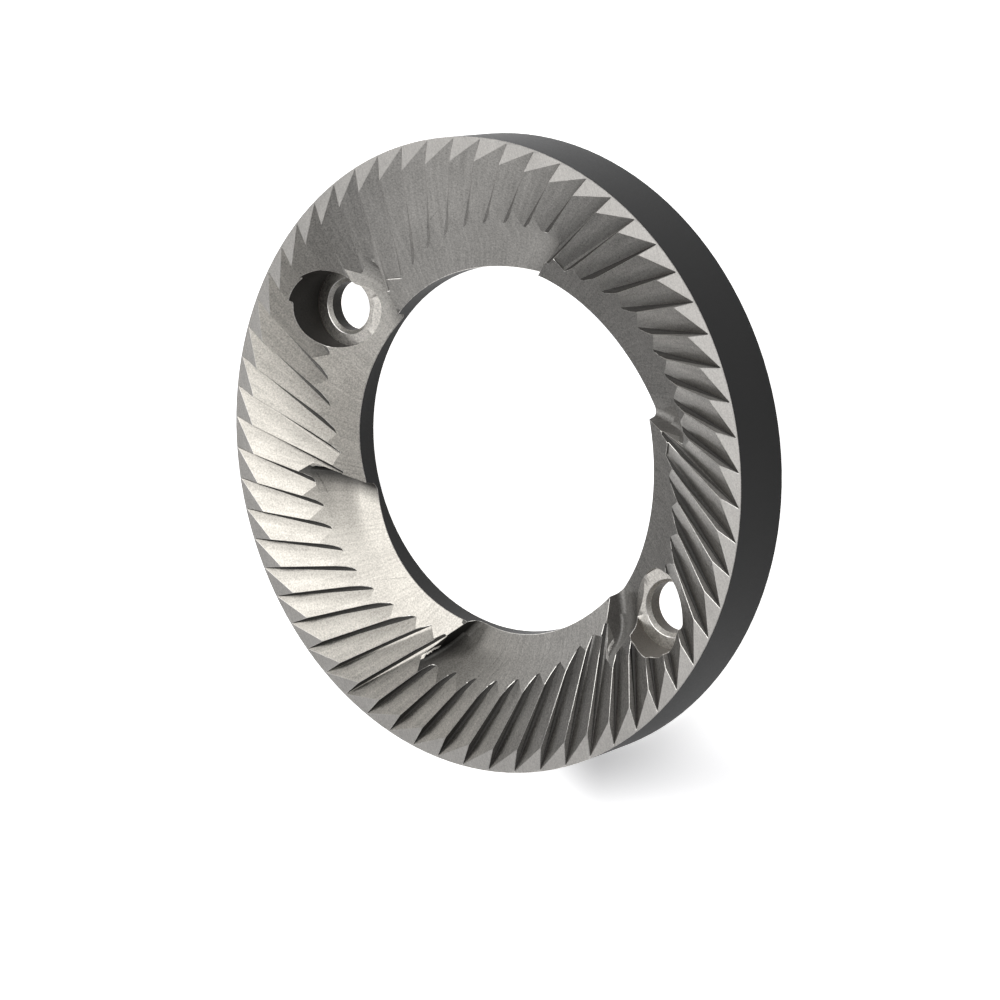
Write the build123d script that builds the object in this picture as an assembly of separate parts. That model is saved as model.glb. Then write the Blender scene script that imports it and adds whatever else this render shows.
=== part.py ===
from build123d import *

import math
import os

# Flat grinding burr for a coffee grinder: a steel ring with sixty leaning saw teeth on one face.
# The origin is the centre of the flat back, the teeth point along +Z,
# and the two screw holes lie on the X axis. Lengths are in millimetres, angles in degrees.

# Driving dimensions of the ring
outer_diameter = 59.6
bore_diameter = 35.0
thickness = 7.0
back_chamfer = 0.4

# Teeth: each groove starts at a point just inside the rim and deepens inward,
# between a steep wall and a shallow face that both lean counterclockwise; narrow flats follow
# the rounding of its bottom
tooth_count = 60
tooth_phase = 0.6
rim_strip = 0.1
steep_lean = 18.1
shallow_lean = 56.4
bottom_lean = 22.4
bottom_fall = 18.6
bottom_rounding = 0.5
bottom_flats = 3
run_up = 1.0
groove_length = 13.4

# Feed ramps: each one is a flat that climbs from a step, under a shallow conical wall that carries
# the ends of the teeth; a steep pocket wall sinks into it beside the step. The insets are the
# distances from the bore out to the two walls, at the walls' heights
ramp_count = 6
step_angle = -11.0
step_lean = 31.7
step_draft = 9.0
ramp_climb_turn = 45.0
ramp_slope = 0.343
ramp_crest = 2.52
ramp_overrun = 3.0
step_foot_radius = 0.6
wall_inset = 1.46
wall_height = 4.2
wall_slope = 0.68
wall_shift = 3.0
wall_shift_turn = 0.0
wall_blend = 1.5
pocket_inset = 0.95
pocket_height = 3.5
pocket_slope = 2.5
pocket_shift = 4.0
pocket_shift_turn = -30.0
pocket_blend = 3.0

# Screw holes, counterbored from the toothed face
hole_count = 2
hole_circle_diameter = 45.6
hole_diameter = 4.75
counterbore_diameter = 7.7
counterbore_floor = 2.0
hole_chamfer = 0.35

outer_radius = outer_diameter / 2
bore_radius = bore_diameter / 2
tool_height = 2 * thickness
ramp_turn = 360 / ramp_count
wall_radius = bore_radius + wall_inset
pocket_radius = bore_radius + pocket_inset


def ring_body():
    """Plain ring with the broken edges of its back face."""
    ring = Cylinder(outer_radius, thickness, align=(Align.CENTER, Align.CENTER, Align.MIN))
    ring -= Cylinder(bore_radius, thickness, align=(Align.CENTER, Align.CENTER, Align.MIN))
    back_edges = ring.edges().filter_by(GeomType.CIRCLE).group_by(Axis.Z)[0]
    return chamfer(back_edges, back_chamfer)


def level(turn):
    """Horizontal unit vector at an angle from +X."""
    return Vector(math.cos(math.radians(turn)), math.sin(math.radians(turn)), 0)


def leaning(lean, fall=0.0):
    """Unit vector that leans off the inward radius at +X and falls below the horizontal."""
    flat = math.cos(math.radians(fall))
    return level(180 - lean) * flat - Vector(0, 0, math.sin(math.radians(fall)))


def groove_cutter():
    """Wedge of one groove at +X: steep wall, shallow face and a bottom that rounds as it deepens."""
    steep_edge = leaning(steep_lean)
    shallow_edge = leaning(shallow_lean)
    bottom = leaning(bottom_lean, bottom_fall)
    steep_normal = bottom.cross(steep_edge).normalized()
    shallow_normal = shallow_edge.cross(bottom).normalized()
    middle = (steep_normal + shallow_normal).normalized()

    # the rounding is a cone that touches both walls and starts at the wedge's point
    cone_angle = math.atan2(bottom_rounding, groove_length)
    rise = math.asin(math.sin(cone_angle) / middle.dot(steep_normal))
    axis = bottom * math.cos(rise) + middle * math.sin(rise)
    below = (bottom * math.sin(rise) - middle * math.cos(rise)) * bottom_rounding

    point = Vector(outer_radius - rim_strip, 0, thickness) - bottom * run_up

    def far(direction):
        return point + direction * (groove_length / direction.dot(axis))

    steep_touch = far(axis - steep_normal * axis.dot(steep_normal))
    lowest = point + axis * groove_length + below
    shallow_touch = far(axis - shallow_normal * axis.dot(shallow_normal))
    rounding = Edge.make_three_point_arc(steep_touch, lowest, shallow_touch)
    corners = [rounding @ (place / bottom_flats) for place in range(bottom_flats + 1)]
    outline = Wire.make_polygon([far(steep_edge), *corners, far(shallow_edge)])
    return Solid.make_loft([Vertex(*point), outline], ruled=True)


def ramp_height(turn):
    """Height of a ramp's flat at the edge of the bore, at an angle past its step."""
    return ramp_crest - ramp_slope * bore_radius * (1 - math.cos(math.radians(turn - ramp_climb_turn)))


def ramp_sector():
    """Wedge-shaped column from one step to just past the next, leaning by the step's draft."""
    start = level(step_angle) * bore_radius
    start_way = level(step_angle - step_lean)
    end_turn = ramp_turn + ramp_overrun
    end = start.rotate(Axis.Z, end_turn)
    end_way = start_way.rotate(Axis.Z, end_turn)
    reach = outer_diameter
    # the two side lines meet near the axis
    gap = end - start
    apart = start_way.cross(end_way).Z
    corner = start + start_way * (gap.cross(end_way).Z / apart)
    plan = Face(Wire.make_polygon([corner, start + start_way * reach, end + end_way * reach]))
    back = level(step_angle - step_lean - 90) * math.tan(math.radians(step_draft))
    lift = back + Vector(0, 0, 1)
    column = Solid.extrude(plan, lift * (2 * tool_height))
    return column.moved(Location(lift * -tool_height + Vector(0, 0, ramp_height(ramp_turn))))


def cone_space(radius, height, slope, shift, shift_turn):
    """Space inside an upward-opening cone with its axis moved off the ring's axis."""
    drop = min(radius * slope, height + thickness)
    low = radius - drop / slope
    high = radius + (tool_height - height) / slope
    place = level(step_angle + shift_turn) * shift + Vector(0, 0, height - drop)
    cone = Cone(low, high, drop + tool_height - height, align=(Align.CENTER, Align.CENTER, Align.MIN))
    # the cone's seam is turned to the side away from the ramp
    return Pos(*place) * Rot(0, 0, 180) * cone


def over_flat():
    """Space above one ramp's flat, which climbs towards its crest."""
    uphill = level(step_angle + ramp_climb_turn)
    crest = uphill * bore_radius + Vector(0, 0, ramp_crest)
    normal = (Vector(0, 0, 1) - uphill * ramp_slope).normalized()
    return Plane(crest, z_dir=normal) * Box(
        2 * outer_diameter, 2 * outer_diameter, tool_height, align=(Align.CENTER, Align.CENTER, Align.MIN)
    )


def ramp_cutter():
    """Space above one ramp: two blended cones over its flat, cut off by its step."""
    bounds = over_flat() & ramp_sector()
    wall = bounds & cone_space(wall_radius, wall_height, wall_slope, wall_shift, wall_shift_turn)
    wall = fillet(wall.edges().filter_by(GeomType.ELLIPSE), wall_blend)
    pocket = bounds & cone_space(pocket_radius, pocket_height, pocket_slope, pocket_shift, pocket_shift_turn)
    pocket = fillet(pocket.edges().filter_by(GeomType.ELLIPSE), pocket_blend)
    space = wall + pocket
    foot = level(step_angle) * bore_radius + Vector(0, 0, ramp_height(0))
    foot_edge = space.edges().filter_by(GeomType.LINE).sort_by_distance(foot)[0]
    return fillet(foot_edge, step_foot_radius)


def screw_hole():
    """Through hole with broken edges under its flat-floored counterbore."""
    radius = hole_diameter / 2
    drill = Cylinder(radius, tool_height)
    front_break = Pos(0, 0, counterbore_floor - hole_chamfer / 2) * Cone(
        radius, radius + hole_chamfer, hole_chamfer
    )
    back_break = Pos(0, 0, hole_chamfer / 2) * Cone(radius + hole_chamfer, radius, hole_chamfer)
    counterbore = Pos(0, 0, counterbore_floor) * Cylinder(
        counterbore_diameter / 2, tool_height, align=(Align.CENTER, Align.CENTER, Align.MIN)
    )
    return Pos(hole_circle_diameter / 2, 0, 0) * (drill + front_break + back_break + counterbore)


def around(shape, count, phase=0.0):
    """Copies of a shape spaced evenly about the ring's axis."""
    return [Rot(0, 0, phase + place * 360 / count) * shape for place in range(count)]


burr = ring_body()
burr -= around(ramp_cutter(), ramp_count)
burr -= around(groove_cutter(), tooth_count, tooth_phase)
burr -= around(screw_hole(), hole_count)
burr.label = "grinder_burr"

os.makedirs("parts", exist_ok=True)
export_step(burr, "parts/grinder_burr.step")
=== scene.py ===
import math

import bmesh
import bpy
from mathutils import Matrix, Vector


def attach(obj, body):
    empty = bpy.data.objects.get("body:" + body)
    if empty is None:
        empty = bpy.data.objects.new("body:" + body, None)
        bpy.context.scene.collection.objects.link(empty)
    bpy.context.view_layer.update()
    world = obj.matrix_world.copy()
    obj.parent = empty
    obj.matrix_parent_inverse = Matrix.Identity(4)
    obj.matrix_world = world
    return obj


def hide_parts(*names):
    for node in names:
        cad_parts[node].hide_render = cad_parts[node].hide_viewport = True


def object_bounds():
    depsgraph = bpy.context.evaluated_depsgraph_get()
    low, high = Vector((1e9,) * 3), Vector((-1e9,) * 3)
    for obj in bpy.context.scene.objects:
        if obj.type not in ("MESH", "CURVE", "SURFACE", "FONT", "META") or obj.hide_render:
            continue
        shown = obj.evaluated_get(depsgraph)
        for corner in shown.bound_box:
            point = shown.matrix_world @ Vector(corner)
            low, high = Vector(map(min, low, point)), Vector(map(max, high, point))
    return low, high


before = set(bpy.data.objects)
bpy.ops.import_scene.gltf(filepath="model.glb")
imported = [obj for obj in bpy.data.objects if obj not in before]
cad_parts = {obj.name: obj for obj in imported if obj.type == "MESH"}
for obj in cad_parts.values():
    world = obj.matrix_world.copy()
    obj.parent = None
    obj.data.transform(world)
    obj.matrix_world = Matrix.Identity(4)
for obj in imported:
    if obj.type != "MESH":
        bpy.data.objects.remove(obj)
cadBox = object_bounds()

# Lengths are in metres and turns in degrees. The burr lies on its back, its teeth point along +Z.


# New shader node with its settings, and its inputs by name or place
def addNode(tree, kind, inputs=None, **settings):
    made = tree.nodes.new(kind)
    for name, value in settings.items():
        setattr(made, name, value)
    for socket, value in (inputs or {}).items():
        if isinstance(value, bpy.types.NodeSocket):
            tree.links.new(value, made.inputs[socket])
        else:
            made.inputs[socket].default_value = value
    return made


def reckon(tree, operation, first, second=0.0):
    return addNode(tree, "ShaderNodeMath", {0: first, 1: second}, operation=operation).outputs[0]


def product(tree, first, second):
    return reckon(tree, "MULTIPLY", first, second)


# What a share leaves of the whole
def leftOver(tree, share):
    return reckon(tree, "SUBTRACT", 1.0, share)


# 0 where the value is at low, 1 where it is at high, with a soft change between them
def fade(tree, value, low, high):
    made = addNode(
        tree,
        "ShaderNodeMapRange",
        {"Value": value, "From Min": low, "From Max": high},
        interpolation_type="SMOOTHSTEP",
    )
    return made.outputs["Result"]


def blendColour(tree, share, first, second):
    def opaque(colour):
        return colour if isinstance(colour, bpy.types.NodeSocket) else (*colour, 1.0)

    inputs = {0: share, 6: opaque(first), 7: opaque(second)}
    return addNode(tree, "ShaderNodeMix", inputs, data_type="RGBA").outputs[2]


def blendValue(tree, share, first, second):
    return addNode(tree, "ShaderNodeMix", {0: share, 2: first, 3: second}).outputs[0]


def flatVector(tree, x, y):
    return addNode(tree, "ShaderNodeCombineXYZ", {"X": x, "Y": y}).outputs[0]


def vectorLength(tree, vector):
    return addNode(tree, "ShaderNodeVectorMath", {0: vector}, operation="LENGTH").outputs["Value"]


def scaled(tree, vector, factor):
    return addNode(tree, "ShaderNodeVectorMath", {0: vector, "Scale": factor}, operation="SCALE").outputs[0]


# Noise between 0 and 1
def addNoise(tree, vector, scale=1.0, roughness=0.6):
    inputs = {"Vector": vector, "Scale": scale, "Detail": 3.0, "Roughness": roughness}
    return addNode(tree, "ShaderNodeTexNoise", inputs).outputs["Fac"]


# Number that a mesh carries for each face or corner
def meshMark(tree, name):
    return addNode(tree, "ShaderNodeAttribute", attribute_name=name).outputs["Fac"]


# Share of the way along a line in the floor's plane, and distance from it
def lineGap(tree, flat, start, end):
    way = Vector((end[0] - start[0], end[1] - start[1], 0.0))
    ahead = way / way.length_squared
    gone = addNode(tree, "ShaderNodeVectorMath", {0: flat, 1: (*start, 0.0)}, operation="SUBTRACT").outputs[0]
    along = addNode(tree, "ShaderNodeVectorMath", {0: gone, 1: ahead}, operation="DOT_PRODUCT")
    inputs = {0: along.outputs["Value"], 1: 1.0}
    share = addNode(tree, "ShaderNodeMath", inputs, operation="MULTIPLY", use_clamp=True).outputs[0]
    near = scaled(tree, way, share)
    gap = addNode(tree, "ShaderNodeVectorMath", {0: gone, 1: near}, operation="DISTANCE")
    return share, gap.outputs["Value"]


# Sizes of the CAD part, which the shading follows
burrSizes = {
    "outerRadius": cadBox[1][0],
    "landHeight": cadBox[1][2],
    "boreRadius": 0.0175,
    "backChamfer": 0.0004,
    "holePlace": 0.0228,
    "counterboreRadius": 0.00385,
}

# The lowest line of a groove falls inward from a point near the rim, and its rounding lifts it a little
grooveShape = {
    "pointRadius": 0.0297,
    "bottomLean": 22.4,
    "bottomFall": 18.6,
    "roundingRise": 0.02,
}

# Each ramp is a flat that climbs from its step. The walls beside it face an axis off the ring's own,
# shifted at a turn from the step
rampShape = {
    "count": 6,
    "stepTurn": -11.0,
    "stepLean": 31.7,
    "climbTurn": 45.0,
    "slope": 0.343,
    "wallShift": 0.0034,
    "wallTurn": -17.0,
}

# Bare steel of the burr. One way points from the ring's axis to its shade side, where the steep walls are
# painted darker as shade and the faces a warmer tone as painted light, and another to its lit side, where the
# groove bottoms are painted lighter; each side begins and is full at two distances along its way. From one
# mark to the next, the sweep times the turn plus the drift times the radius grows by the spacing
burrLook = {
    "landColour": (0.62, 0.60, 0.57),
    "faceColour": (0.50, 0.485, 0.46),
    # painted shade: the steep walls are darker than the faces
    "steepShadeColour": (0.26, 0.25, 0.235),
    # painted shade: the narrow bottoms of the grooves are painted dark
    "bottomShadeColour": (0.080, 0.076, 0.070),
    "seatColour": (0.74, 0.71, 0.66),
    "ridgeColour": (0.78, 0.76, 0.72),
    # painted shade and light on one side: steep walls darker, faces warmer
    "shadeSideWay": (0.492, 0.870),
    "shadeSideFrom": 0.000,
    "shadeSideTo": 0.018,
    "shadedSteepColour": (0.030, 0.028, 0.025),
    "warmFaceColour": (0.50, 0.476, 0.432),
    # painted light: groove bottoms lighter on the lit side
    "litSideWay": (0.910, -0.415),
    "litSideFrom": 0.010,
    "litSideTo": 0.024,
    "litBottomColour": (0.32, 0.31, 0.295),
    "gloss": 0.3,
    "landRoughness": 0.34,
    "faceRoughness": 0.32,
    "steepRoughness": 0.6,
    "ridgeRoughness": 0.28,
    "ridgeWidth": 0.000032,
    "grainSize": 0.00016,
    "grainTone": 1.4,
    "landGrainTone": 0.7,
    "grainRoughness": 0.2,
    "cloudsPerMetre": 300.0,
    "cloudTone": 0.25,
    "markSpacing": 0.00035,
    "markLength": 0.005,
    "markSweep": 0.024,
    "markDrift": 0.42,
    "markTone": 0.60,
    "lineSpacing": 0.00012,
    "lineLength": 0.004,
    "lineTurn": -39.5,
    "lineTone": 0.34,
    "reliefDepth": 0.00003,
    "reliefStrength": 0.5,
    "reliefGrain": 0.6,
    "reliefLines": 0.4,
    "scratchWidth": 0.00005,
    "scratchCore": 0.3,
    "scratchTone": -0.30,
    "scratches": [
        ((-0.01376, 0.01136), (-0.01477, 0.01140)),
        ((-0.01477, 0.01140), (-0.01501, 0.01216)),
        ((-0.01501, 0.01216), (-0.01457, 0.01379)),
        ((-0.01048, 0.01902), (-0.01050, 0.01561)),
        ((-0.01150, 0.01836), (-0.01165, 0.01629)),
        ((0.00489, 0.02006), (0.00238, 0.01776)),
        ((0.01611, 0.01531), (0.01426, 0.01648)),
        ((0.01691, -0.01605), (0.01755, -0.01332)),
    ],
}

# Painted shade: up from the bottoms of the grooves, out from the feet of the steps, and on the walls
# beside the ramps on the shade side. A side tone is added on the shade side
paintedShadeLook = {
    "grooveTop": 0.00042,
    "grooveTone": 0.36,
    "grooveSideTone": -0.08,
    "stepStart": 0.0001,
    "stepEnd": 0.0023,
    "stepTone": 0.45,
    "stepSideTone": 0.40,
    "stepMatte": 0.8,
    "wallStart": 0.001,
    "wallEnd": 0.0085,
    "wallInner": 0.0189,
    "wallOuter": 0.0208,
    "wallTone": 0.55,
}

# Dark turned steel of the rim, the bore and the screw holes; the near-black of the rim is partly painted
# shade for its dark reflections. The screw hole on the -X side has lighter walls
wallLook = {
    # painted shade: the rim is near black for its dark reflections, on a darker turned finish
    "rimColour": (0.006, 0.006, 0.006),
    "boreColour": (0.030, 0.0295, 0.029),
    "holeColour": (0.045, 0.042, 0.038),
    # lighter walls in the screw hole on the -X side
    "lighterHoleColour": (0.19, 0.175, 0.155),
    "roughness": 0.45,
    "grainRoughness": 0.15,
    "grainTone": 0.8,
    "gloss": 0.09,
}

# Where one look ends and the next begins. A rise is the Z part of the way that a face looks
lookEdges = {
    "faceRise": 0.78,
    "steepRise": 0.5,
    "landStart": 0.00003,
    "landFull": 0.00001,
    "seatSoftness": 0.00004,
    "boreStart": 0.0004,
    "boreFull": 0.0002,
    "holeSideSoftness": 0.001,
}

# How the surfaces of the mesh are told apart. A match is the cosine between two ways, a tilt is
# the part of a face's way that points along the ring, and a reach is a distance past an edge
surfaceRules = {
    "mergeReach": 1e-7,
    "sharpTurn": 28.0,
    "faintTurn": 5.0,
    "ridgeTurn": 45.0,
    "wallRise": 0.3,
    "rimReach": 0.0005,
    "boreReach": 0.0001,
    "holeReach": 0.00005,
    "stepReach": 0.0001,
    "tinyArea": 1e-11,
    "flatMatch": 0.9995,
    "rampMatch": 0.998,
    "grooveRise": 0.19,
    "grooveTilt": 0.12,
    "bottomRise": 0.24,
    "levelBottomRises": (0.9, 0.98),
    "levelBottomArea": 4e-6,
    "rampWallReach": 0.0002,
    "rampWallRises": (0.3, 0.9),
    "rampWallMatch": 0.97,
    "stepFootWidth": 0.0005,
}


# Places on the burr, and masks for its surfaces from the place and the slope of each point
def burrPlaces(tree):
    spots = addNode(tree, "ShaderNodeTexCoord").outputs
    place = addNode(tree, "ShaderNodeSeparateXYZ", {0: spots["Object"]}).outputs
    slope = addNode(tree, "ShaderNodeSeparateXYZ", {0: spots["Normal"]}).outputs
    rise = reckon(tree, "ABSOLUTE", slope["Z"])
    bottom = meshMark(tree, "bottom")
    steep = fade(tree, rise, lookEdges["faceRise"], lookEdges["steepRise"])
    flat = flatVector(tree, place["X"], place["Y"])
    across = reckon(tree, "SUBTRACT", reckon(tree, "ABSOLUTE", place["X"]), burrSizes["holePlace"])
    holeGap = vectorLength(tree, flatVector(tree, across, place["Y"]))
    softness = lookEdges["seatSoftness"]
    seatEdge = burrSizes["counterboreRadius"] + softness
    top = burrSizes["landHeight"]
    return {
        "place": spots["Object"],
        "x": place["X"],
        "y": place["Y"],
        "z": place["Z"],
        "flat": flat,
        "radius": vectorLength(tree, flat),
        "groove": meshMark(tree, "groove"),
        "bottom": bottom,
        "upright": reckon(tree, "MAXIMUM", steep, bottom),
        "land": fade(tree, place["Z"], top - lookEdges["landStart"], top - lookEdges["landFull"]),
        "seat": fade(tree, holeGap, seatEdge + softness, seatEdge),
    }


# Share of one side of the burr: 0 before the first distance along a way, 1 past the second
def sideShare(tree, places, way, first, second):
    inputs = {0: places["place"], 1: (*way, 0.0)}
    along = addNode(tree, "ShaderNodeVectorMath", inputs, operation="DOT_PRODUCT")
    return fade(tree, along.outputs["Value"], first, second)


# Matte grain of the steel, between 0 and 1
def burrGrain(tree, places):
    return addNoise(tree, places["place"], 1.0 / burrLook["grainSize"])


# Straight grinding lines of the lands, between 0 and 1
def landLines(tree, places):
    stretched = addNode(
        tree,
        "ShaderNodeMapping",
        {
            "Vector": places["place"],
            "Rotation": (0.0, 0.0, math.radians(burrLook["lineTurn"])),
            "Scale": (burrLook["lineLength"], burrLook["lineSpacing"], 1.0),
        },
        vector_type="TEXTURE",
    )
    return addNoise(tree, stretched.outputs[0])


# Wheel marks along the grooves and across the ramps, between 0 and 1
def grooveMarks(tree, places):
    turn = reckon(tree, "ARCTAN2", places["y"], places["x"])
    sweep = product(tree, turn, burrLook["markSweep"])
    drift = product(tree, places["radius"], burrLook["markDrift"])
    across = reckon(tree, "DIVIDE", reckon(tree, "ADD", sweep, drift), burrLook["markSpacing"])
    along = reckon(tree, "DIVIDE", places["radius"], burrLook["markLength"])
    return addNoise(tree, flatVector(tree, across, along))


# 1 on the scratches and 0 beside them
def scratchLines(tree, places):
    width = burrLook["scratchWidth"]
    drawn = 0.0
    for start, end in burrLook["scratches"]:
        gap = lineGap(tree, places["flat"], start, end)[1]
        drawn = reckon(tree, "MAXIMUM", fade(tree, gap, width, burrLook["scratchCore"] * width), drawn)
    return drawn


# Mask of painted shade: 1 on the bottoms of the grooves, and fading to 0 up the faces of the teeth
def grooveShade(tree, places):
    lean = math.radians(grooveShape["bottomLean"])
    aside = grooveShape["pointRadius"] * math.sin(lean)
    square = product(tree, places["radius"], places["radius"])
    left = reckon(tree, "MAXIMUM", reckon(tree, "SUBTRACT", square, aside * aside), 0.0)
    ahead = grooveShape["pointRadius"] * math.cos(lean)
    along = reckon(tree, "SUBTRACT", ahead, reckon(tree, "SQRT", left))
    fallen = product(tree, along, math.tan(math.radians(grooveShape["bottomFall"])))
    lifted = product(tree, along, grooveShape["roundingRise"])
    rise = reckon(tree, "SUBTRACT", reckon(tree, "ADD", places["z"], fallen), burrSizes["landHeight"])
    rise = reckon(tree, "SUBTRACT", rise, lifted)
    return product(tree, fade(tree, rise, paintedShadeLook["grooveTop"], 0.0), places["groove"])


# Mask of painted shade: 1 at the feet of the steps, and fading to 0 out on the ramps
def stepShade(tree, places):
    near = fade(tree, meshMark(tree, "stepGap"), paintedShadeLook["stepEnd"], paintedShadeLook["stepStart"])
    toothed = reckon(tree, "MAXIMUM", places["groove"], places["land"])
    return product(tree, near, leftOver(tree, toothed))


# Mask of painted shade: 1 on the walls beside the ramps, fading to 0 towards the bore and far from the steps
def wallShade(tree, places):
    wall = meshMark(tree, "rampWall")
    near = fade(tree, meshMark(tree, "stepGap"), paintedShadeLook["wallEnd"], paintedShadeLook["wallStart"])
    outer = fade(tree, places["radius"], paintedShadeLook["wallInner"], paintedShadeLook["wallOuter"])
    return product(tree, wall, product(tree, near, outer))


# The colour darkened by painted shade where a mask is 1, by a depth
def darkened(tree, colour, shadeMask, depth):
    return scaled(tree, colour, leftOver(tree, product(tree, shadeMask, depth)))


# The colour made lighter and darker by each (mask between 0 and 1, depth)
def toned(tree, colour, shades):
    tone = 1.0
    for mask, depth in shades:
        shift = product(tree, reckon(tree, "SUBTRACT", mask, 0.5), depth)
        tone = reckon(tree, "ADD", tone, shift)
    return scaled(tree, colour, tone)


# The roughness made higher and lower by the grain
def grained(tree, rough, grain, depth):
    return reckon(tree, "ADD", rough, product(tree, reckon(tree, "SUBTRACT", grain, 0.5), depth))


# New material, with its nodes and its shader
def newSteel(name):
    steel = bpy.data.materials.new(name)
    steel.use_nodes = True
    return steel, steel.node_tree, steel.node_tree.nodes["Principled BSDF"]


# Colour of the steel with its painted shade and painted light, before its grain and marks
def burrColour(tree, places, nearStep):
    # painted shade and light by side: darker steep walls and warmer faces on the shade side
    shadeSide = sideShare(tree, places, burrLook["shadeSideWay"], burrLook["shadeSideFrom"], burrLook["shadeSideTo"])
    # painted light: on the lit side the groove bottoms are lighter and lose their painted shade
    litSide = sideShare(tree, places, burrLook["litSideWay"], burrLook["litSideFrom"], burrLook["litSideTo"])
    face = blendColour(tree, shadeSide, burrLook["faceColour"], burrLook["warmFaceColour"])
    steep = blendColour(tree, shadeSide, burrLook["steepShadeColour"], burrLook["shadedSteepColour"])
    bottom = blendColour(tree, litSide, burrLook["bottomShadeColour"], burrLook["litBottomColour"])
    colour = blendColour(tree, places["upright"], face, steep)
    # painted shade on the narrow bottoms of the grooves
    colour = blendColour(tree, places["bottom"], colour, bottom)

    # painted shade on the ramp walls of the shade side
    shadedWall = product(tree, wallShade(tree, places), shadeSide)
    colour = darkened(tree, colour, shadedWall, paintedShadeLook["wallTone"])
    # painted shade up from the groove bottoms, left off on the lit side
    inGroove = product(tree, grooveShade(tree, places), leftOver(tree, litSide))
    layers = [
        (inGroove, paintedShadeLook["grooveTone"], paintedShadeLook["grooveSideTone"]),
        (nearStep, paintedShadeLook["stepTone"], paintedShadeLook["stepSideTone"]),
    ]
    # each layer darkens the colour as painted shade
    for shadeMask, tone, sideTone in layers:
        depth = reckon(tree, "ADD", product(tree, shadeSide, sideTone), tone)
        colour = darkened(tree, colour, shadeMask, depth)
    colour = blendColour(tree, places["land"], colour, burrLook["landColour"])
    return blendColour(tree, places["seat"], colour, burrLook["seatColour"])


# Bare steel of the burr: ground lands, satin faces and ramps, steep walls darkened by painted shade
def burrSteel():
    steel, tree, shader = newSteel("burrSteel")
    shader.inputs["Specular IOR Level"].default_value = burrLook["gloss"]
    places = burrPlaces(tree)
    land = places["land"]
    grain = burrGrain(tree, places)
    lines = landLines(tree, places)
    marks = grooveMarks(tree, places)
    clouds = addNoise(tree, places["place"], burrLook["cloudsPerMetre"], roughness=0.5)
    scratches = scratchLines(tree, places)
    # painted shade at the feet of the steps
    nearStep = stepShade(tree, places)

    shades = [
        (grain, blendValue(tree, land, burrLook["grainTone"], burrLook["landGrainTone"])),
        (marks, product(tree, leftOver(tree, land), burrLook["markTone"])),
        (lines, product(tree, land, burrLook["lineTone"])),
        (clouds, burrLook["cloudTone"]),
        (reckon(tree, "ADD", scratches, 0.5), burrLook["scratchTone"]),
    ]
    colour = toned(tree, burrColour(tree, places, nearStep), shades)
    tree.links.new(colour, shader.inputs["Base Color"])

    matte = product(tree, nearStep, paintedShadeLook["stepMatte"])
    covered = reckon(tree, "MAXIMUM", places["upright"], matte)
    tree.links.new(leftOver(tree, covered), shader.inputs["Metallic"])

    rough = blendValue(tree, land, burrLook["faceRoughness"], burrLook["landRoughness"])
    rough = blendValue(tree, places["upright"], rough, burrLook["steepRoughness"])
    rough = grained(tree, rough, grain, burrLook["grainRoughness"])
    tree.links.new(rough, shader.inputs["Roughness"])

    fine = product(tree, blendValue(tree, land, marks, lines), burrLook["reliefLines"])
    relief = reckon(tree, "ADD", product(tree, grain, burrLook["reliefGrain"]), fine)
    depth = {"Strength": burrLook["reliefStrength"], "Distance": burrLook["reliefDepth"]}
    bump = addNode(tree, "ShaderNodeBump", {"Height": relief, **depth})
    tree.links.new(bump.outputs[0], shader.inputs["Normal"])
    return steel


# Dark turned steel of the rim, the bore and the screw holes, with painted shade in the near-black rim
def wallSteel():
    steel, tree, shader = newSteel("wallSteel")
    shader.inputs["Specular IOR Level"].default_value = wallLook["gloss"]
    places = burrPlaces(tree)
    grain = burrGrain(tree, places)
    bore = burrSizes["boreRadius"]
    holeSideReach = lookEdges["holeSideSoftness"]
    inBore = fade(tree, places["radius"], bore + lookEdges["boreStart"], bore + lookEdges["boreFull"])
    # the screw hole on the -X side gets lighter walls
    lighterHoleSide = fade(tree, places["x"], holeSideReach, -holeSideReach)
    colour = blendColour(tree, inBore, wallLook["rimColour"], wallLook["boreColour"])
    holeColour = blendColour(tree, lighterHoleSide, wallLook["holeColour"], wallLook["lighterHoleColour"])
    colour = blendColour(tree, places["seat"], colour, holeColour)
    tree.links.new(toned(tree, colour, [(grain, wallLook["grainTone"])]), shader.inputs["Base Color"])
    rough = grained(tree, wallLook["roughness"], grain, wallLook["grainRoughness"])
    tree.links.new(rough, shader.inputs["Roughness"])
    return steel


# Steel of the tooth edges, rubbed bright
def ridgeSteel():
    steel, tree, shader = newSteel("ridgeSteel")
    shader.inputs["Metallic"].default_value = 1.0
    shader.inputs["Roughness"].default_value = burrLook["ridgeRoughness"]
    grain = burrGrain(tree, burrPlaces(tree))
    colour = toned(tree, burrLook["ridgeColour"], [(grain, burrLook["grainTone"])])
    tree.links.new(colour, shader.inputs["Base Color"])
    return steel


# Numbers the faces by the CAD surface that they came from, before the mesh is merged
def markPatches(work):
    patch = work.faces.layers.int.new("patch")
    count = 0
    for start in work.faces:
        if start[patch]:
            continue
        count += 1
        start[patch] = count
        waiting = [start]
        while waiting:
            face = waiting.pop()
            for edge in face.edges:
                for near in edge.link_faces:
                    if not near[patch]:
                        near[patch] = count
                        waiting.append(near)
    return patch


# True where two surfaces meet at an edge, and False inside a surface or a rounding
def isCrisp(edge, patch):
    if len(edge.link_faces) != 2:
        return False
    first, second = edge.link_faces
    turn = math.degrees(edge.calc_face_angle(0.0))
    if turn > surfaceRules["sharpTurn"]:
        return True
    return edge.is_convex and first[patch] != second[patch] and turn > surfaceRules["faintTurn"]


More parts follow.
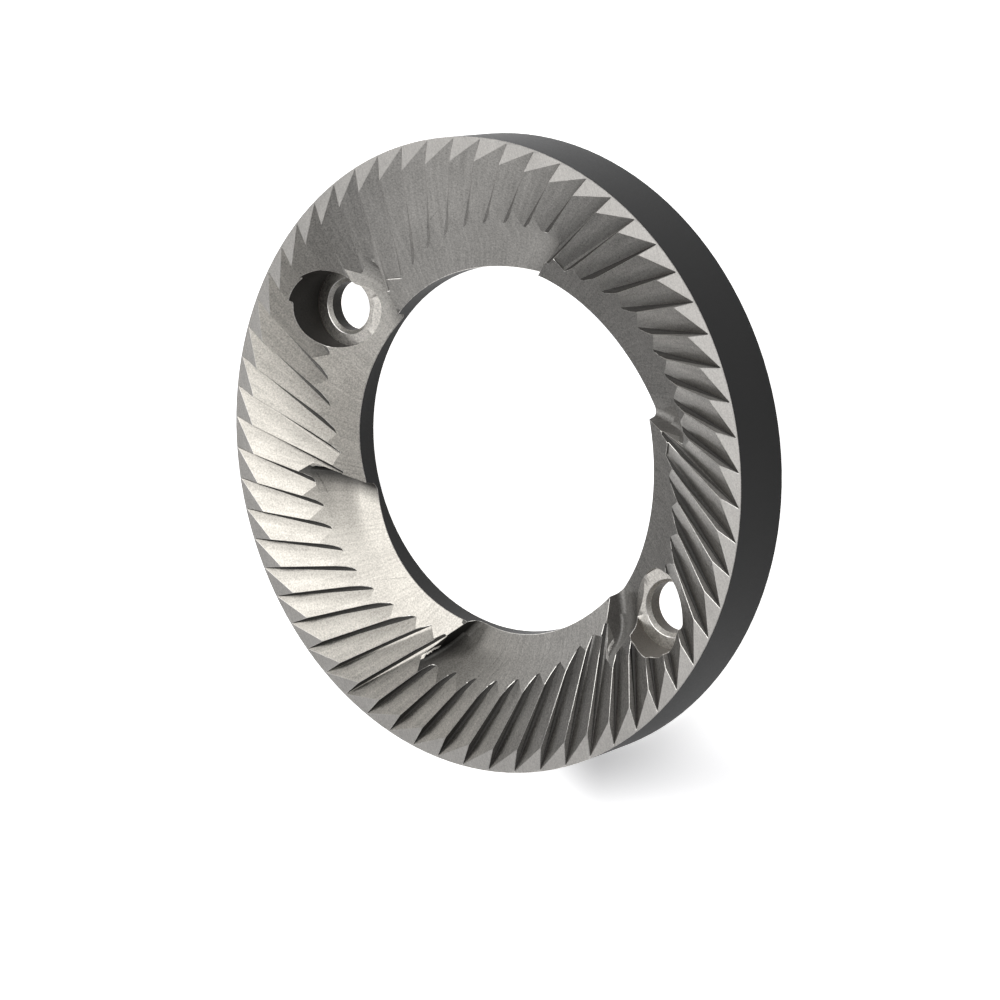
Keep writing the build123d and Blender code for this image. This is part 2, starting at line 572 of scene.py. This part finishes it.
# True at the sharp outward edges above the back, which are rubbed bright
def isRidge(edge):
    if edge.smooth or not edge.is_convex:
        return False
    lowest = min(corner.co.z for corner in edge.verts)
    sharp = math.degrees(edge.calc_face_angle(0.0)) > surfaceRules["ridgeTurn"]
    return sharp and lowest > 2 * burrSizes["backChamfer"]


# How far a place is from the axis of the nearer screw hole
def holeDistance(place):
    return math.hypot(abs(place.x) - burrSizes["holePlace"], place.y)


# True on the rim, in the bore and on the walls of the screw holes
def isWall(face):
    centre = face.calc_center_median()
    reach = math.hypot(centre.x, centre.y)
    atHole = holeDistance(centre) < burrSizes["counterboreRadius"] + surfaceRules["holeReach"]
    atRim = reach > burrSizes["outerRadius"] - surfaceRules["rimReach"]
    atBore = reach < burrSizes["boreRadius"] + surfaceRules["boreReach"]
    return abs(face.normal.z) < surfaceRules["wallRise"] and (atHole or atRim or atBore)


# Unit vector in the floor's plane at a turn from +X
def level(turn):
    return Vector((math.cos(math.radians(turn)), math.sin(math.radians(turn)), 0.0))


# How far a place is past the step at a turn, where the step meets the ramp
def stepGap(place, stepTurn):
    foot = level(stepTurn) * burrSizes["boreRadius"]
    return (place - foot).dot(level(stepTurn - rampShape["stepLean"] + 90.0))


# The turn of the step at the start of the ramp that a place is on
def stepBefore(place):
    found = rampShape["stepTurn"]
    least = math.inf
    for number in range(rampShape["count"]):
        stepTurn = rampShape["stepTurn"] + number * 360.0 / rampShape["count"]
        ahead = place.dot(level(stepTurn - rampShape["stepLean"])) > 0.0
        gap = stepGap(place, stepTurn)
        if ahead and -surfaceRules["stepReach"] < gap < least:
            found = stepTurn
            least = gap
    return found


# Direction that the flat of a ramp faces, from the turn of its step
def rampNormal(stepTurn):
    uphill = level(stepTurn + rampShape["climbTurn"])
    return (Vector((0.0, 0.0, 1.0)) - uphill * rampShape["slope"]).normalized()


# Area of each surface, and one face for each surface that is flat
def flatPatches(work, patch):
    areas = {}
    kept = {}
    curved = set()
    for face in work.faces:
        number = face[patch]
        areas[number] = areas.get(number, 0.0) + face.calc_area()
        if face.calc_area() < surfaceRules["tinyArea"]:
            continue
        if number not in kept:
            kept[number] = face
        elif face.normal.dot(kept[number].normal) < surfaceRules["flatMatch"]:
            curved.add(number)
    return areas, {number: face for number, face in kept.items() if number not in curved}


# The flat surfaces of the grooves, and those of them that are narrow flats on their bottoms.
# The flats beside a steep wall tilt its way along the ring, and face up more than it does
def groovePatches(work, patch):
    lowest, highest = surfaceRules["levelBottomRises"]
    areas, flats = flatPatches(work, patch)
    grooves = set()
    bottoms = set()
    for number, face in flats.items():
        centre = face.calc_center_median()
        rise = face.normal.z
        tilt = face.normal.dot(Vector((-centre.y, centre.x, 0.0)).normalized())
        onRamp = face.normal.dot(rampNormal(stepBefore(centre))) > surfaceRules["rampMatch"]
        if onRamp or rise < surfaceRules["grooveRise"]:
            continue
        if abs(tilt) > surfaceRules["grooveTilt"]:
            grooves.add(number)
            if tilt > 0.0 and rise > surfaceRules["bottomRise"]:
                bottoms.add(number)
        elif lowest < rise < highest and areas[number] < surfaceRules["levelBottomArea"]:
            bottoms.add(number)
    return grooves | bottoms, bottoms


# True on the walls beside a ramp and on their roundings, which face the axis of the walls
def isRampWall(face):
    centre = face.calc_center_median()
    lowest, highest = surfaceRules["rampWallRises"]
    pastBore = math.hypot(centre.x, centre.y) > burrSizes["boreRadius"] + surfaceRules["rampWallReach"]
    pastHole = holeDistance(centre) > burrSizes["counterboreRadius"]
    if not (pastBore and pastHole and lowest < face.normal.z < highest):
        return False
    inward = level(stepBefore(centre) + rampShape["wallTurn"]) * rampShape["wallShift"] - centre
    inward.z = 0.0
    facing = Vector((face.normal.x, face.normal.y, 0.0))
    return facing.normalized().dot(inward.normalized()) > surfaceRules["rampWallMatch"]


# Numbers on the faces that the materials and the shading read
def markFaces(work, patch):
    grooves, bottoms = groovePatches(work, patch)
    walls = {face[patch] for face in work.faces if isRampWall(face)} - grooves
    print("walls of ramps", len(walls), "surfaces of grooves", len(grooves))
    for name, numbers in (("rampWall", walls), ("groove", grooves), ("bottom", bottoms)):
        mark = work.faces.layers.int.new(name)
        for face in work.faces:
            face[mark] = 1 if face[patch] in numbers else 0


# Turns the shading of the walls beside the ramps towards the flats of the ramps, but not at the
# feet of the steps, and keeps each corner's distance past its step for the materials
def softenWalls(burr):
    mesh = burr.data
    shading = burr.modifiers.new("evenShading", "WEIGHTED_NORMAL")
    shading.keep_sharp = True
    even = burr.evaluated_get(bpy.context.evaluated_depsgraph_get()).data
    normals = [corner.vector.copy() for corner in even.corner_normals]
    walls = [entry.value for entry in mesh.attributes["rampWall"].data]
    gaps = [0.0] * len(normals)
    for face in mesh.polygons:
        stepTurn = stepBefore(face.center)
        flat = rampNormal(stepTurn)
        for corner in face.loop_indices:
            gaps[corner] = stepGap(mesh.vertices[mesh.loops[corner].vertex_index].co, stepTurn)
            if walls[face.index]:
                share = min(max(gaps[corner] / surfaceRules["stepFootWidth"], 0.0), 1.0)
                normals[corner] = normals[corner].lerp(flat, share).normalized()
    burr.modifiers.remove(shading)
    mesh.normals_split_custom_set(normals)
    mesh.attributes.new("stepGap", "FLOAT", "CORNER").data.foreach_set("value", gaps)


# The burr from its CAD mesh, with narrow bright flats along its sharp edges
def makeBurr(node):
    faceSlot, wallSlot, ridgeSlot = range(3)
    mesh = node.data.copy()
    mesh.name = "burr"
    mesh.transform(node.matrix_world)
    work = bmesh.new()
    work.from_mesh(mesh)
    patch = markPatches(work)
    bmesh.ops.remove_doubles(work, verts=work.verts, dist=surfaceRules["mergeReach"])
    bmesh.ops.recalc_face_normals(work, faces=work.faces)
    for face in work.faces:
        face.smooth = True
        face.material_index = wallSlot if isWall(face) else faceSlot
    for edge in work.edges:
        edge.smooth = not isCrisp(edge, patch)
    markFaces(work, patch)
    flats = bmesh.ops.bevel(
        work,
        geom=[edge for edge in work.edges if isRidge(edge)],
        offset=burrLook["ridgeWidth"],
        offset_type="OFFSET",
        segments=1,
        profile=0.5,
        affect="EDGES",
        clamp_overlap=False,
        material=-1,
    )
    rampWall = work.faces.layers.int["rampWall"]
    for face in flats["faces"]:
        face.material_index = ridgeSlot
        face[rampWall] = 0
    mesh.materials.clear()
    for steel in (burrSteel(), wallSteel(), ridgeSteel()):
        mesh.materials.append(steel)
    work.to_mesh(mesh)
    work.free()

    burr = bpy.data.objects.new("burr", mesh)
    bpy.context.scene.collection.objects.link(burr)
    softenWalls(burr)
    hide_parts("grinder_burr")
    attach(burr, "root")
    return burr


# The painted shadow follows a line on the floor, and ends at a reach on either side of it
floorLook = {
    "size": 3.0,
    "drop": 0.00002,
    "colour": (0.86, 0.86, 0.87),
    "glow": 1.0,
    "shadowStart": (-0.0246, 0.0192),
    "shadowEnd": (-0.0470, 0.0004),
    "startDepth": 0.68,
    "endDepth": 0.44,
    "shadowReach": 0.0095,
}


# White floor that keeps a soft shadow, and stays white to the camera and in reflections, with a painted
# shadow where its glow is dimmed along a line
def floorWhite():
    white = bpy.data.materials.new("floorWhite")
    white.use_nodes = True
    tree = white.node_tree
    tree.nodes.remove(tree.nodes["Principled BSDF"])
    output = tree.nodes["Material Output"]
    matte = addNode(tree, "ShaderNodeBsdfDiffuse", {"Color": (*floorLook["colour"], 1.0)})
    ray = addNode(tree, "ShaderNodeLightPath").outputs
    seen = reckon(tree, "MAXIMUM", ray["Is Camera Ray"], ray["Is Glossy Ray"])
    seen = reckon(tree, "MAXIMUM", seen, ray["Is Transmission Ray"])
    spots = addNode(tree, "ShaderNodeTexCoord").outputs
    along, gap = lineGap(tree, spots["Object"], floorLook["shadowStart"], floorLook["shadowEnd"])
    depth = blendValue(tree, along, floorLook["startDepth"], floorLook["endDepth"])
    shade = product(tree, depth, fade(tree, gap, floorLook["shadowReach"], 0.0))
    strength = product(tree, reckon(tree, "SUBTRACT", floorLook["glow"], shade), seen)
    shine = addNode(tree, "ShaderNodeEmission", {"Strength": strength})
    both = addNode(tree, "ShaderNodeAddShader", {0: matte.outputs[0], 1: shine.outputs[0]})
    tree.links.new(both.outputs[0], output.inputs["Surface"])
    return white


def makeFloor():
    half = floorLook["size"] / 2
    mesh = bpy.data.meshes.new("floor")
    corners = [(-half, -half, 0.0), (half, -half, 0.0), (half, half, 0.0), (-half, half, 0.0)]
    mesh.from_pydata(corners, [], [(0, 1, 2, 3)])
    mesh.materials.append(floorWhite())
    floor = bpy.data.objects.new("floor", mesh)
    floor.location.z = -floorLook["drop"]
    bpy.context.scene.collection.objects.link(floor)


# Round lamps that face the origin. Their turn is about Z from +X, and their height is the turn
# above the floor
studioLights = {
    "keyPanel": {"turn": -48.0, "height": 63.0, "away": 0.55, "size": 0.60, "power": 1.8},
    "sidePanel": {"turn": 46.0, "height": 60.0, "away": 0.55, "size": 0.26, "power": 0.15},
    "lowPanel": {"turn": 15.0, "height": 32.0, "away": 0.55, "size": 0.22, "power": 0.08},
    "fillPanel": {"turn": 110.0, "height": 38.0, "away": 0.55, "size": 0.50, "power": 0.25},
    "backPanel": {"turn": -129.0, "height": 38.0, "away": 0.55, "size": 0.35, "power": 0.075},
}
roomColour = (0.215, 0.215, 0.219)


def makeLight(name, facts):
    height = math.radians(facts["height"])
    way = level(facts["turn"]) * math.cos(height) + Vector((0.0, 0.0, math.sin(height)))
    lamp = bpy.data.lights.new(name, "AREA")
    lamp.shape = "DISK"
    lamp.size = facts["size"]
    lamp.energy = facts["power"]
    light = bpy.data.objects.new(name, lamp)
    light.location = way * facts["away"]
    light.rotation_euler = way.to_track_quat("Z", "Y").to_euler()
    bpy.context.scene.collection.objects.link(light)


def makeRoom():
    room = bpy.data.worlds.new("room")
    room.use_nodes = True
    room.node_tree.nodes["Background"].inputs["Color"].default_value = (*roomColour, 1.0)
    bpy.context.scene.world = room


# The camera's own axes and its place. Its lens and its sensor are in millimetres
cameraPlace = {
    "right": (-0.66433, -0.42711, -0.61339),
    "up": (0.63013, -0.76141, -0.15227),
    "back": (-0.40201, -0.48767, 0.77496),
    "at": (-0.10832, -0.12463, 0.20671),
    "lens": 100.39,
    "sensor": 36.0,
    "nearest": 0.01,
}


def makeCamera():
    lens = bpy.data.cameras.new("photoCamera")
    lens.lens = cameraPlace["lens"]
    lens.sensor_width = cameraPlace["sensor"]
    lens.clip_start = cameraPlace["nearest"]
    camera = bpy.data.objects.new("photoCamera", lens)
    turned = Matrix((cameraPlace["right"], cameraPlace["up"], cameraPlace["back"])).transposed()
    camera.matrix_world = Matrix.Translation(cameraPlace["at"]) @ turned.to_4x4()
    bpy.context.scene.collection.objects.link(camera)
    bpy.context.scene.camera = camera


makeCamera()
print("camera done")
makeRoom()
for lightName, lightFacts in studioLights.items():
    makeLight(lightName, lightFacts)
makeFloor()
print("studio done")
makeBurr(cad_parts["grinder_burr"])
print("burr done")

bpy.context.scene.view_settings.view_transform = "Standard"

print("scene done")
